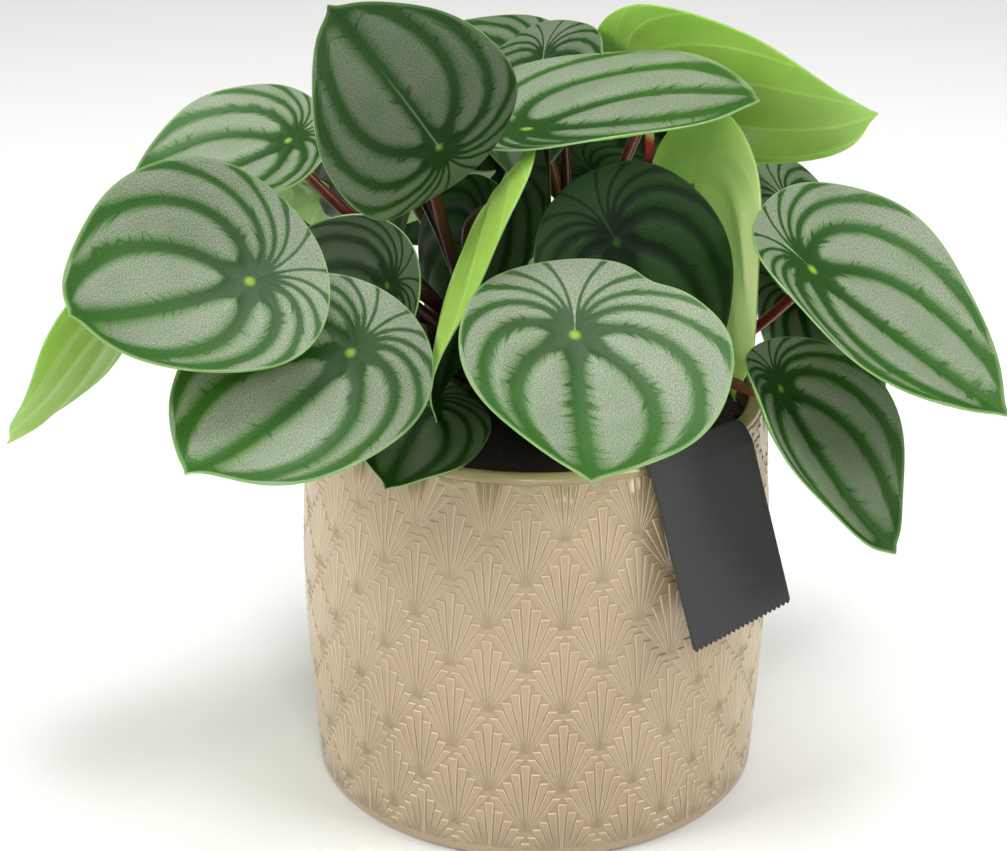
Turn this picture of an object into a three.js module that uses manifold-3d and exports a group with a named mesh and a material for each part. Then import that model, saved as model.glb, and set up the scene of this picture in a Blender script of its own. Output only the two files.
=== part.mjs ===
// A watermelon peperomia in a ceramic cover pot: round shield-shaped leaves on red stalks, potting
// soil, a relief-glazed pot and a blank card label folded over the pot's rim.
// Millimetres, +Z up. The origin is the middle of the pot's underside; the front faces -Y.
import * as THREE from "three";
import { mergeVertices } from "three/addons/utils/BufferGeometryUtils.js";
import Module from "manifold-3d";

const wasm = await Module();
wasm.setup();

// ---------------------------------------------------------------- driving dimensions (mm, degrees)
const GAP = 0.3; // left between pieces that touch
const FULL_TURN = 2 * Math.PI;

const POT = {
  height: 122,
  footRadius: 61.5,
  footRounding: 4,
  wallLowRadius: 65.3,
  wallLowHeight: 8,
  wallMidRadius: 68.3, // the barrel-shaped wall is widest half way up
  wallTopRadius: 67.2,
  wallTopShare: 0.85,
  rimRadius: 66,
  rimBand: 3,
  wall: 4.6,
  wallSteps: 7,
  lipDepth: 6,
  innerTaper: 2.5, // the inside is this much narrower at the floor
  floor: 6,
  floorRounding: 4,
  segments: 60,
};
const SOIL = {
  top: 110,
  mound: 2.5,
  edgeTaper: 0.2,
  edgeDrop: 1,
  edgeBand: 6,
  edgeRise: 1,
  pocketRadius: 13, // the plain hole that the crown stands in
  pocketDepth: 14,
  segments: 48,
};
const CROWN = { radius: 12.5, base: 97, top: 113, steps: 10, segments: 24 };
const STALK = {
  radius: 1.75,
  sides: 6,
  steps: 8,
  rootRadius: 7.5, // each stalk starts inside the crown, at this radius and height
  rootHeight: 104,
  leaveOut: 3,
  leaveUp: 8,
  samples: 60, // points along a route that are measured against the blades
  clearance: 1,
  ownReach: 5, // nearer its joint than this, a stalk may come close to its own blade
};
// The bends that a stalk tries, in turn, to pass the other blades.
const STALK_TRIALS = {
  approaches: [16, 26, 9, 38, 52, 70], // how far under its blade it turns square on
  reaches: [6, 20, 36, 54], // how far it leans out of the crown
  rises: [30, 48, 18, 66, 8], // how far it rises there
  swings: [0, 12, -12, 24, -24, 36, -36, 52, -52], // and how far it swings sideways
};
const BLADE = {
  thickness: 1,
  jointShare: 0.27, // the stalk joins this far along the blade from its notch end
  rootPower: 0.5, // the outline is broad and round at the notch end
  tipPower: 0.76, // and drawn to a point at the tip
  sectors: 18,
  rings: 3,
  normalStep: 0.05,
};
const LABEL = {
  width: 39,
  visible: 50,
  thickness: 0.8,
  hangBelow: 5, // the face starts this far below the rim
  azimuth: -47.5, // where it hangs on the rim, from +X
  lean: 17, // it stands off the wall towards its lower edge
  skew: 3, // and hangs a little crooked
  teeth: 21,
  toothDepth: 0.8,
  foldTop: 126.5,
  foldShoulder: 1.6,
  foldSteps: 12,
  tabBottom: 112.5,
  tabInset: 4.9,
  tabShoulder: 0.6,
  halfAngle: 24, // half of the rim's turn that the card covers
};
// What a stalk clears where it passes over the rim.
const RIM_PASS = { inside: 5, outside: 2, overFold: 0.5 };

const LEAF_GREEN = { color: 0x5f8f5e, roughness: 0.42, metalness: 0 };
const STALK_RED = { color: 0x7c1f1a, roughness: 0.4, metalness: 0 };
const GLAZE_BEIGE = { color: 0xcdb592, roughness: 0.35, metalness: 0 };
const SOIL_BROWN = { color: 0x241a14, roughness: 0.95, metalness: 0 };
const CARD_CHARCOAL = { color: 0x3b3a3c, roughness: 0.85, metalness: 0 };

// Each leaf: the stalk's joint [x, y, z]; heading of the tip, pitch (tip down) and roll (left side
// up) of the blade; its length and width; and how far its edges cup up and its tip droops.
const LEAVES = [
  { name: "front", joint: [15, -67, 165], turn: [-95, 28, -10], size: [83, 74], bend: [17, -26] },
  { name: "front_left", joint: [-55, -55, 154], turn: [-134, 31, -17], size: [81, 69], bend: [10, -32] },
  { name: "left", joint: [-81, -44, 176], turn: [-141, 11, -40], size: [83, 69], bend: [21, -33], via: [-70, 9, 140] },
  { name: "left_upper", joint: [-73, 3, 194], turn: [204, 22, -12], size: [61, 56], bend: [21, -30] },
  { name: "top_left", joint: [-28, -49, 211], turn: [227, -53, -110], size: [65, 57], bend: [13, 40] },
  { name: "left_low", joint: [-122, 12, 140], turn: [-159, 68, 41], size: [75, 66], bend: [11, -39] },
  { name: "left_inner", joint: [-43, -22, 161], turn: [-217, 38, -77], size: [60, 52], bend: [57, 5] },
  { name: "top", joint: [1, 4, 205], turn: [-31, -5, 3], size: [91, 86], bend: [6, -8] },
  { name: "right_upper", joint: [36, 54, 191], turn: [-32, 16, -51], size: [91, 84], bend: [24, -45] },
  { name: "back_top", joint: [-8, 82, 193], turn: [198, 17, -8], size: [78, 68], bend: [2, 18] },
  { name: "crown_top", joint: [2, 52, 202], turn: [-103, 39, 23], size: [54, 46], bend: [8, 16] },
  { name: "right_inner", joint: [45, 6, 180], turn: [-94, 67, -118], size: [85, 68], bend: [5, -27] },
  { name: "middle", joint: [21, -38, 179], turn: [-16, 58, 44], size: [75, 60], bend: [-1, 27] },
  { name: "cupped", joint: [-13, -25, 185], turn: [-146, 51, -132], size: [83, 73], bend: [40, -32] },
  { name: "shaded_left", joint: [-17, 14, 159], turn: [-201, 55, -54], size: [64, 54], bend: [-11, 38] },
  { name: "rim_left", joint: [-30, -41, 132], turn: [-109, 12, -13], size: [46, 38], bend: [-8, 13] },
  { name: "right", joint: [80, -25, 169], turn: [-25, 38, 7], size: [87, 73], bend: [19, -8], via: [50, 8, 126] },
  { name: "right_low", joint: [71, -37, 132], turn: [-48, 49, -8], size: [68, 58], bend: [39, -15] },
  { name: "right_back", joint: [80, 69, 148], turn: [-26, 49, -1], size: [72, 63], bend: [-5, 16] },
  { name: "right_back_low", joint: [82, 62, 124], turn: [2, 46, 36], size: [64, 56], bend: [4, 15] },
  { name: "shaded_upper_left", joint: [-47, 11, 189], turn: [-230, 43, -89], size: [60, 52], bend: [0, 18] },
  { name: "shaded_middle", joint: [-4, 44, 162], turn: [-109, 39, -84], size: [40, 36], bend: [1, 17] },
  { name: "shaded_right", joint: [21, 73, 158], turn: [-31, 23, 0], size: [66, 58], bend: [-1, 15] },
  { name: "left_back", joint: [-80, 23, 177], turn: [148, 19, 34], size: [63, 55], bend: [0, 15] },
  { name: "back_left", joint: [-21, 104, 159], turn: [170, 53, -93], size: [60, 52], bend: [16, 5] },
  { name: "back_right", joint: [37, 112, 163], turn: [-25, 49, 54], size: [56, 49], bend: [1, -8] },
];

// The rest of the rosette, out of sight from the front: a skirt of leaves shingled round the back.
const SKIRT = {
  count: 3,
  firstAzimuth: 95,
  step: 29,
  radius: 72,
  height: 138,
  pitch: 44,
  roll: 16,
  length: 76,
  widthShare: 0.86,
  cup: 18,
  droop: 12,
  seed: 11,
  second: { radius: -5, height: 25, pitch: -12 }, // every second leaf lies in a higher layer
  spread: { radius: 3, height: 3, pitch: 4, length: 6 },
};

// ---------------------------------------------------------------- small helpers
const rad = THREE.MathUtils.degToRad;

/** Seeded random numbers from 0 to 1, the same on each run. */
function seededRandom(seed) {
  let state = seed;
  return () => {
    state = (state * 16807) % 2147483647;
    return (state - 1) / 2147483646;
  };
}

/** A closed solid from a three.js geometry, placed by a matrix. */
function solidFrom(geometry, matrix = new THREE.Matrix4()) {
  const bare = geometry.clone();
  bare.deleteAttribute("normal");
  bare.deleteAttribute("uv");
  bare.applyMatrix4(matrix);
  const merged = mergeVertices(bare, 1e-4);
  return new wasm.Manifold(
    new wasm.Mesh({
      numProp: 3,
      vertProperties: new Float32Array(merged.attributes.position.array),
      triVerts: new Uint32Array(merged.index.array),
    }),
  );
}

/** A three.js geometry from a closed solid. */
function geometryFrom(solid) {
  const mesh = solid.getMesh();
  const geometry = new THREE.BufferGeometry();
  geometry.setAttribute("position", new THREE.BufferAttribute(mesh.vertProperties, 3));
  geometry.setIndex(new THREE.BufferAttribute(mesh.triVerts, 1));
  geometry.computeVertexNormals();
  return geometry;
}

/** One named piece with its material. */
function piece(name, geometry, finish) {
  const mesh = new THREE.Mesh(geometry, new THREE.MeshStandardMaterial(finish));
  mesh.name = name;
  return mesh;
}

/** A turned piece, its profile [radius, height] from axis to axis, standing on +Z. */
function turned(name, profile, segments, finish) {
  const points = profile.map(([radius, height]) => new THREE.Vector2(radius, height));
  const mesh = piece(name, new THREE.LatheGeometry(points, segments), finish);
  mesh.rotation.x = Math.PI / 2;
  return mesh;
}

// ---------------------------------------------------------------- pot and soil
/** Points of the pot's barrel-shaped outer wall, from above the foot to under the rim. */
function wallPoints() {
  const wall = new THREE.SplineCurve([
    new THREE.Vector2(POT.wallLowRadius, POT.wallLowHeight),
    new THREE.Vector2(POT.wallMidRadius, POT.height / 2),
    new THREE.Vector2(POT.wallTopRadius, POT.wallTopShare * POT.height),
    new THREE.Vector2(POT.rimRadius, POT.height - POT.rimBand),
  ]);
  return wall.getPoints(POT.wallSteps).map((point) => [point.x, point.y]);
}

/** Points of an arc round (centreRadius, centreHeight), from one angle to another. */
function arcPoints(centreRadius, centreHeight, radius, from, to, steps) {
  return Array.from({ length: steps + 1 }, (_, i) => {
    const angle = rad(from + ((to - from) * i) / steps);
    return [centreRadius + radius * Math.cos(angle), centreHeight + radius * Math.sin(angle)];
  });
}

/** The cover pot: a rounded foot, the barrel-shaped wall, a round lip and the plain inside. */
function makePot() {
  const lip = POT.wall / 2;
  const innerTop = POT.rimRadius - POT.wall;
  const innerLow = innerTop - POT.innerTaper;
  const profile = [
    [0, 0],
    ...arcPoints(POT.footRadius, POT.footRounding, POT.footRounding, -90, -20, 3),
    ...wallPoints(),
    ...arcPoints(POT.rimRadius - lip, POT.height - lip, lip, 30, 150, 4),
    [innerTop, POT.height - POT.lipDepth],
    [innerLow, POT.floor + POT.floorRounding],
    [innerLow - POT.floorRounding, POT.floor],
    [0, POT.floor],
  ];
  return turned("pot", profile, POT.segments, GLAZE_BEIGE);
}

/** The soil that fills the pot, a little mounded, with a plain hole for the crown. */
function makeSoil() {
  const innerTop = POT.rimRadius - POT.wall - GAP;
  const innerLow = innerTop - POT.innerTaper;
  const moundTop = SOIL.top + SOIL.mound;
  const pocketFloor = SOIL.top - SOIL.pocketDepth;
  const profile = [
    [0, POT.floor + GAP],
    [innerLow - POT.floorRounding, POT.floor + GAP],
    [innerLow, POT.floor + POT.floorRounding + GAP],
    [innerTop - SOIL.edgeTaper, SOIL.top - SOIL.edgeDrop],
    [innerTop - SOIL.edgeBand, SOIL.top + SOIL.edgeRise],
    [innerTop / 2, moundTop],
    [SOIL.pocketRadius, moundTop],
    [SOIL.pocketRadius, pocketFloor],
    [0, pocketFloor],
  ];
  return turned("soil", profile, SOIL.segments, SOIL_BROWN);
}

// ---------------------------------------------------------------- blades
/** The blade's flat outline for an angle, in shares of its length and width from the joint. */
function outlinePoint(angle) {
  const along = (1 - Math.cos(angle)) / 2;
  const widest = BLADE.rootPower / (BLADE.rootPower + BLADE.tipPower);
  const root = (along / widest) ** BLADE.rootPower;
  const tip = ((1 - along) / (1 - widest)) ** BLADE.tipPower;
  return [along - BLADE.jointShare, (Math.sign(Math.sin(angle)) * root * tip) / 2];
}

/** Where a flat point of a blade lies once its edges cup and its tip droops. */
function bentPoint(leaf, x, y) {
  const [length, width] = leaf.size;
  const cup = rad(leaf.bend[0] || 0.01) / (width / 2);
  const droop = rad(leaf.bend[1] || 0.01) / ((1 - BLADE.jointShare) * length);
  const rise = (1 - Math.cos(cup * y)) / cup;
  const reach = 1 / droop + rise;
  const side = Math.sin(cup * y) / cup;
  return new THREE.Vector3(reach * Math.sin(droop * x), side, reach * Math.cos(droop * x) - 1 / droop);
}

/** The blade's place: tip along local +X, upper face up, joint at the stalk's end. */
function bladeMatrix(leaf) {
  const [heading, pitch, roll] = leaf.turn;
  const euler = new THREE.Euler(rad(roll), rad(pitch), rad(heading), "ZYX");
  return new THREE.Matrix4().makeRotationFromEuler(euler).setPosition(...leaf.joint);
}

/** A blade: rings of the outline round the joint, with both faces split into the same triangles. */
function bladeGeometry(leaf) {
  const { sectors, rings, thickness, normalStep: step } = BLADE;
  const [length, width] = leaf.size;
  const upper = [];
  const lower = [];
  const addPoint = (x, y) => {
    const point = bentPoint(leaf, x, y);
    const alongX = bentPoint(leaf, x + step, y).sub(point);
    const alongY = bentPoint(leaf, x, y + step).sub(point);
    const normal = alongX.cross(alongY).normalize();
    upper.push(point.clone().addScaledVector(normal, thickness / 2));
    lower.push(point.clone().addScaledVector(normal, -thickness / 2));
  };
  addPoint(0, 0);
  for (let ring = 1; ring <= rings; ring++) {
    for (let sector = 0; sector < sectors; sector++) {
      const [along, across] = outlinePoint((FULL_TURN * sector) / sectors);
      addPoint((along * length * ring) / rings, (across * width * ring) / rings);
    }
  }
  const count = upper.length;
  const at = (ring, sector) => 1 + (ring - 1) * sectors + (sector % sectors);
  const index = [];
  const bothFaces = (a, b, c) => index.push(a, c, b, count + a, count + b, count + c);
  for (let sector = 0; sector < sectors; sector++) {
    bothFaces(0, at(1, sector), at(1, sector + 1));
    for (let ring = 1; ring < rings; ring++) {
      bothFaces(at(ring, sector), at(ring + 1, sector), at(ring + 1, sector + 1));
      bothFaces(at(ring, sector), at(ring + 1, sector + 1), at(ring, sector + 1));
    }
    const a = at(rings, sector);
    const b = at(rings, sector + 1);
    index.push(a, count + b, count + a, a, b, count + b);
  }
  const geometry = new THREE.BufferGeometry().setFromPoints([...upper, ...lower]);
  geometry.setIndex(index);
  geometry.computeVertexNormals();
  return geometry;
}

/** One leaf's blade, in its place. */
function makeBlade(leaf) {
  const mesh = piece(`blade_${leaf.name}`, bladeGeometry(leaf), LEAF_GREEN);
  bladeMatrix(leaf).decompose(mesh.position, mesh.quaternion, mesh.scale);
  return mesh;
}

/** The skirt's leaves, each rolled the same way so that their edges overlap like shingles. */
function skirtLeaves() {
  const random = seededRandom(SKIRT.seed);
  const vary = (amount) => amount * (2 * random() - 1);
  return Array.from({ length: SKIRT.count }, (_, i) => {
    const layer = i % 2;
    const azimuth = SKIRT.firstAzimuth + i * SKIRT.step;
    const radius = SKIRT.radius + layer * SKIRT.second.radius + vary(SKIRT.spread.radius);
    const height = SKIRT.height + layer * SKIRT.second.height + vary(SKIRT.spread.height);
    const pitch = SKIRT.pitch + layer * SKIRT.second.pitch + vary(SKIRT.spread.pitch);
    const length = SKIRT.length + vary(SKIRT.spread.length);
    return {
      name: `skirt_${i + 1}`,
      joint: [radius * Math.cos(rad(azimuth)), radius * Math.sin(rad(azimuth)), height],
      turn: [azimuth, pitch, SKIRT.roll],
      size: [length, SKIRT.widthShare * length],
      bend: [SKIRT.cup, SKIRT.droop],
    };
  });
}

// ---------------------------------------------------------------- crown and stalks
/** A blade's triangles in the part's frame, with a sphere round them. */
function bladeShape(leaf) {
  const geometry = bladeGeometry(leaf).toNonIndexed().applyMatrix4(bladeMatrix(leaf));
  geometry.computeBoundingSphere();
  const position = geometry.getAttribute("position");
  const triangles = [];
  for (let i = 0; i < position.count; i += 3) {
    triangles.push(new THREE.Triangle().setFromAttributeAndIndices(position, i, i + 1, i + 2));
  }
  return { sphere: geometry.boundingSphere, triangles };
}

/** The height to pass over at the rim: the label's fold near its azimuth, else the pot's lip. */
function rimTop(point) {
  const away = Math.abs(Math.atan2(point.y, point.x) - rad(LABEL.azimuth));
  return away < rad(LABEL.halfAngle) ? LABEL.foldTop + RIM_PASS.overFold : POT.height;
}

/** How far a point lies above the soil, or above the rim and the label's fold further out. */
function heightOverPot(point) {
  const radius = Math.hypot(point.x, point.y);
  const rimInside = POT.rimRadius - POT.wall - RIM_PASS.inside;
  if (radius < SOIL.pocketRadius - STALK.radius - GAP) return Infinity;
  if (radius < rimInside) return point.z - SOIL.top - SOIL.mound - GAP;
  return radius < POT.wallMidRadius + RIM_PASS.outside ? point.z - rimTop(point) : Infinity;
}

/** How far a point lies from the nearest of the blades, up to a limit. */
function distanceToBlades(point, shapes, limit) {
  const nearest = new THREE.Vector3();
  let distance = limit;
  for (const { sphere, triangles } of shapes) {
    if (sphere.distanceToPoint(point) > distance) continue;
    for (const triangle of triangles) {
      triangle.closestPointToPoint(point, nearest);
      distance = Math.min(distance, nearest.distanceTo(point));
    }
  }
  return distance;
}

/** Every bend that a stalk may take, the plainest first. */
function stalkBends() {
  const { approaches, reaches, rises, swings } = STALK_TRIALS;
  return approaches.flatMap((approach) =>
    reaches.flatMap((reach) =>
      rises.flatMap((rise) => swings.map((swing) => ({ approach, reach, rise, swing }))),
    ),
  );
}

/** The room round a curve: its least distance from the blades and from the pot and soil. */
function roomAlong(curve, end, shapes, others, enough, least) {
  const points = curve.getPoints(STALK.samples).slice(0, -1);
  let room = enough;
  for (const point of points) {
    if (room <= least) break;
    const near = point.distanceTo(end) > STALK.ownReach ? shapes : others;
    room = Math.min(room, distanceToBlades(point, near, enough), heightOverPot(point));
  }
  return room;
}

/** A stalk's route: out of the crown, past the other blades, and up to its joint square on. */
function stalkRoute(leaf, shapes, own) {
  const matrix = bladeMatrix(leaf);
  const normal = new THREE.Vector3().setFromMatrixColumn(matrix, 2);
  const end = new THREE.Vector3(...leaf.joint).addScaledVector(normal, -BLADE.thickness / 2 - GAP);
  const azimuth = Math.atan2(end.y, end.x);
  const outward = new THREE.Vector3(Math.cos(azimuth), Math.sin(azimuth), 0);
  const sideways = new THREE.Vector3(-outward.y, outward.x, 0);
  const root = outward.clone().multiplyScalar(STALK.rootRadius).setZ(STALK.rootHeight);
  const aboveRoot = root.clone().addScaledVector(outward, STALK.leaveOut);
  aboveRoot.setZ(SOIL.top + STALK.leaveUp);
  const clear = STALK.radius + STALK.clearance;
  const others = shapes.filter((shape) => shape !== own);
  let best = { room: -Infinity, curve: null };
  for (const { approach, reach, rise, swing } of stalkBends()) {
    const rising = root.clone().addScaledVector(outward, reach).addScaledVector(sideways, swing);
    rising.z += rise;
    const below = end.clone().addScaledVector(normal, -approach);
    const curve = leaf.via
      ? new THREE.CatmullRomCurve3([root, aboveRoot, new THREE.Vector3(...leaf.via), below, end])
      : new THREE.CubicBezierCurve3(root, rising, below, end);
    const room = roomAlong(curve, end, shapes, others, clear, best.room);
    if (room > best.room) best = { room, curve };
    if (best.room >= clear) break;
  }
  return best.curve;
}

/** The short crown in the soil with every leaf's stalk grown out of it, as one body. */
function makeCrown(leaves) {
  const height = CROWN.top - CROWN.base;
  const dome = new THREE.EllipseCurve(0, height / 2, CROWN.radius, height / 2, -Math.PI / 2, Math.PI / 2);
  const round = dome.getPoints(CROWN.steps);
  const profile = round.map((point) => new THREE.Vector2(Math.max(point.x, 0), point.y));
  const stand = new THREE.Matrix4().makeRotationX(Math.PI / 2).setPosition(0, 0, CROWN.base);
  let body = solidFrom(new THREE.LatheGeometry(profile, CROWN.segments), stand);
  const section = new THREE.Shape();
  for (let side = 0; side < STALK.sides; side++) {
    const angle = (FULL_TURN * side) / STALK.sides;
    const corner = [STALK.radius * Math.cos(angle), STALK.radius * Math.sin(angle)];
    if (side === 0) section.moveTo(...corner);
    else section.lineTo(...corner);
  }
  const shapes = leaves.map(bladeShape);
  leaves.forEach((leaf, i) => {
    const extrudePath = stalkRoute(leaf, shapes, shapes[i]);
    const options = { steps: STALK.steps, bevelEnabled: false, extrudePath };
    body = body.add(solidFrom(new THREE.ExtrudeGeometry(section, options)));
  });
  return piece("crown_with_stalks", geometryFrom(body), STALK_RED);
}

// ---------------------------------------------------------------- label
/** The card's hanging face, drawn flat from the fold down, with its pinked lower edge. */
function cardFace() {
  const half = LABEL.width / 2;
  const slide = LABEL.visible * Math.tan(rad(LABEL.skew));
  const tilt = LABEL.width * Math.tan(rad(LABEL.skew));
  const face = new THREE.Shape();
  face.moveTo(-half, 0);
  for (let i = 0; i <= 2 * LABEL.teeth; i++) {
    const share = i / (2 * LABEL.teeth);
    const tooth = i % 2 === 1 ? LABEL.toothDepth : 0;
    face.lineTo(-half + slide + share * LABEL.width, -LABEL.visible + share * tilt - tooth);
  }
  face.lineTo(half, 0);
  face.closePath();
  return new THREE.ExtrudeGeometry(face, { depth: LABEL.thickness, bevelEnabled: false });
}

/** The card's fold over the rim and its tab inside, as a bent strip as wide as the card. */
function cardFold(outerDistance, outerHeight) {
  const tabDistance = POT.rimRadius - POT.wall - LABEL.tabInset;
  const shoulderHeight = (outerHeight + LABEL.foldTop) / 2;
  const middle = new THREE.CatmullRomCurve3([
    new THREE.Vector3(outerDistance, outerHeight, 0),
    new THREE.Vector3(outerDistance - LABEL.foldShoulder, shoulderHeight, 0),
    new THREE.Vector3((outerDistance + tabDistance) / 2, LABEL.foldTop, 0),
    new THREE.Vector3(tabDistance + LABEL.tabShoulder, shoulderHeight, 0),
    new THREE.Vector3(tabDistance, LABEL.tabBottom, 0),
  ]).getPoints(LABEL.foldSteps);
  const side = (offset) =>
    middle.map((point, i) => {
      const before = middle[Math.max(i - 1, 0)];
      const after = middle[Math.min(i + 1, middle.length - 1)];
      const along = after.clone().sub(before).normalize();
      return new THREE.Vector2(point.x - along.y * offset, point.y + along.x * offset);
    });
  const half = LABEL.thickness / 2;
  const strip = new THREE.Shape([...side(half), ...side(-half).reverse()]);
  return new THREE.ExtrudeGeometry(strip, { depth: LABEL.width, bevelEnabled: false });
}

/** The card label, folded over the rim at its azimuth. */
function makeLabel() {
  const azimuth = rad(LABEL.azimuth);
  const outerDistance = POT.wallTopRadius + LABEL.thickness;
  const outerHeight = POT.height - LABEL.hangBelow;
  const turn = new THREE.Matrix4().makeRotationZ(azimuth);
  // The face's own X runs along the rim, its Y up the card and its Z out of the pot.
  const lean = rad(LABEL.lean);
  const across = new THREE.Vector3(0, 1, 0);
  const up = new THREE.Vector3(-Math.sin(lean), 0, Math.cos(lean));
  const out = new THREE.Vector3(Math.cos(lean), 0, Math.sin(lean));
  const facePlace = new THREE.Matrix4().makeBasis(across, up, out);
  facePlace.setPosition(outerDistance - LABEL.thickness / 2, 0, outerHeight);
  const face = solidFrom(cardFace(), turn.clone().multiply(facePlace));
  const foldPlace = new THREE.Matrix4().makeRotationX(Math.PI / 2);
  foldPlace.setPosition(0, LABEL.width / 2, 0);
  const fold = solidFrom(cardFold(outerDistance, outerHeight), turn.clone().multiply(foldPlace));
  return piece("label", geometryFrom(face.add(fold)), CARD_CHARCOAL);
}

// ---------------------------------------------------------------- the whole plant
const leaves = [...LEAVES, ...skirtLeaves()];
const plant = new THREE.Group();
plant.add(makePot());
plant.add(makeSoil());
plant.add(makeLabel());
plant.add(makeCrown(leaves));
leaves.forEach((leaf) => plant.add(makeBlade(leaf)));

export default plant;
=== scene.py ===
"""A potted peperomia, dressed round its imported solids.

The solids give every piece its place. This script lays finer pieces over them: leaf blades with
their silver fields and dark vein bands, round red stalks, crumbly soil, a glazed pot with its
fan relief, and a blank linen card label. Lengths are in millimetres until a mesh is placed.
"""

import logging
import math
import random
from dataclasses import dataclass, field
from enum import Enum
from functools import partial
from typing import Any, Callable, Sequence

import bmesh
import bpy
import numpy as np
from bmesh.types import BMEdge, BMesh, BMVert
from bpy.types import Material, NodeSocket
from mathutils import Matrix, Vector, noise


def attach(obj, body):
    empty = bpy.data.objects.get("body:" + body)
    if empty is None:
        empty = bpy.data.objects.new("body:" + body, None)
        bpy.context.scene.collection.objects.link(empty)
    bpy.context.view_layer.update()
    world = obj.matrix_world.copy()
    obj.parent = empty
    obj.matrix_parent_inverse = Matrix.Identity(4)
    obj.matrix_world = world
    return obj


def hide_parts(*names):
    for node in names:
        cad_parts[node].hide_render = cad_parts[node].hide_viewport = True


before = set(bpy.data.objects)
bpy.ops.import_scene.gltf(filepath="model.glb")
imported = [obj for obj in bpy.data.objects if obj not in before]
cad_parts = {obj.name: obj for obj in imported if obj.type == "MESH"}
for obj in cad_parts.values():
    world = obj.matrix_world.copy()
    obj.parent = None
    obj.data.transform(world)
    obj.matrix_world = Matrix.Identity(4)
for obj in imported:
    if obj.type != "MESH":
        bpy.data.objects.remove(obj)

LOG = logging.getLogger("potted_peperomia")
MM = 0.001
FULL_TURN = 2 * math.pi
ROOT = "root"
PLAN_MAP = "blade_plan"
LAYERS = "leaf_seed leaf_tone leaf_crease ring vein_spacing vein_start from_heart"
BLADE_LAYERS = tuple(LAYERS.split())
CARD_MAP = "card_plan"
CARD_UNIT = 100  # millimetres of card to one unit of its map
LEAF_IOR = 1.42  # watery flesh under a waxy skin
SMOOTH = {"interpolation_type": "SMOOTHSTEP"}
COLOUR = {"data_type": "RGBA"}
AddNode = Callable[..., NodeSocket]
Array = np.ndarray
Pair = tuple[float, float]
Triple = tuple[float, float, float]
Points = list[Pair]


class Slot(Enum):
    """The record's material slots."""

    GLAZE = "pot_glaze"
    SOIL = "potting_soil"
    CARD = "label_card"
    STALK = "stalk_red"
    LEAF = "leaf_green"


# ---- small helpers
def linear(hex_colour: str) -> tuple[float, float, float, float]:
    """Turns an sRGB hex colour into linear RGBA.

    Args:
        hex_colour: Six hex digits, such as "a3b69a".

    Returns:
        Linear red, green, blue and an alpha of 1.
    """
    parts = [int(hex_colour[i : i + 2], 16) / 255 for i in (0, 2, 4)]
    curve = [c / 12.92 if c <= 0.04045 else ((c + 0.055) / 1.055) ** 2.4 for c in parts]
    return (curve[0], curve[1], curve[2], 1.0)


def add_node(
    tree: bpy.types.NodeTree,
    kind: str,
    inputs: Sequence[Any] | dict[str, Any] = (),
    **settings: Any,
) -> NodeSocket:
    """Adds a shader node with its settings, values and links.

    Args:
        tree: The node tree.
        kind: The node's type without "ShaderNode", such as "Math".
        inputs: A value, hex colour or other node's output for each socket, in order or by name.
            Only the sockets that the settings leave in use are counted.
        **settings: Properties of the node.

    Returns:
        The node's first output in use.
    """
    node = tree.nodes.new(f"ShaderNode{kind}")
    for name, value in settings.items():
        setattr(node, name, value)
    in_use = [socket for socket in node.inputs if socket.enabled]
    if isinstance(inputs, dict):
        by_name = {socket.name: socket for socket in reversed(in_use)}
        in_use = [by_name[name] for name in inputs]
        inputs = tuple(inputs.values())
    for socket, value in zip(in_use, inputs):
        if isinstance(value, NodeSocket):
            tree.links.new(value, socket)
        else:
            socket.default_value = linear(value) if isinstance(value, str) else value
    return next((socket for socket in node.outputs if socket.enabled), None)


def to_mesh(name: str, bm: BMesh) -> bpy.types.Mesh:
    """Turns a bmesh into a new mesh and frees it."""
    mesh = bpy.data.meshes.new(name)
    bm.to_mesh(mesh)
    bm.free()
    return mesh


def place_object(name: str, data: bpy.types.ID) -> bpy.types.Object:
    """Adds an object with some data to the scene."""
    added = bpy.data.objects.new(name, data)
    bpy.context.scene.collection.objects.link(added)
    return added


def modify(piece: bpy.types.Object, name: str, kind: str, **settings: Any) -> None:
    """Adds a modifier with its settings to a piece."""
    modifier = piece.modifiers.new(name, kind)
    for key, value in settings.items():
        setattr(modifier, key, value)


def finish_piece(
    name: str,
    bm: BMesh,
    materials: Sequence[Material],
    nodes: Sequence[str],
    smooth: bool = True,
) -> bpy.types.Object:
    """Turns a bmesh into a piece of the object that rides on the frame.

    Args:
        name: The piece's name.
        bm: Its mesh, which is freed.
        materials: Its materials, by face index.
        nodes: The solids that it stands for.
        smooth: Whether every face is shaded smooth, or each as it is marked.

    Returns:
        The new object, at the origin.
    """
    bmesh.ops.scale(bm, vec=(MM, MM, MM), verts=bm.verts)
    for face in bm.faces:
        face.smooth = smooth or face.smooth
    mesh = to_mesh(name, bm)
    for material in materials:
        mesh.materials.append(material)
    piece = place_object(name, mesh)
    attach(piece, ROOT)
    if nodes:
        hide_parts(*nodes)
    LOG.info("%s: %d faces", name, len(mesh.polygons))
    return piece


def spin_full(bm: BMesh, steps: int, merge: float) -> None:
    """Spins everything in a mesh once round the Z axis.

    Args:
        bm: The mesh.
        steps: Steps in the full turn.
        merge: Points closer than this are merged.
    """
    bmesh.ops.spin(
        bm,
        geom=bm.verts[:] + bm.edges[:],
        cent=(0, 0, 0),
        axis=(0, 0, 1),
        angle=FULL_TURN,
        steps=steps,
        use_merge=True,
    )
    bmesh.ops.remove_doubles(bm, verts=bm.verts, dist=merge)


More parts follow.
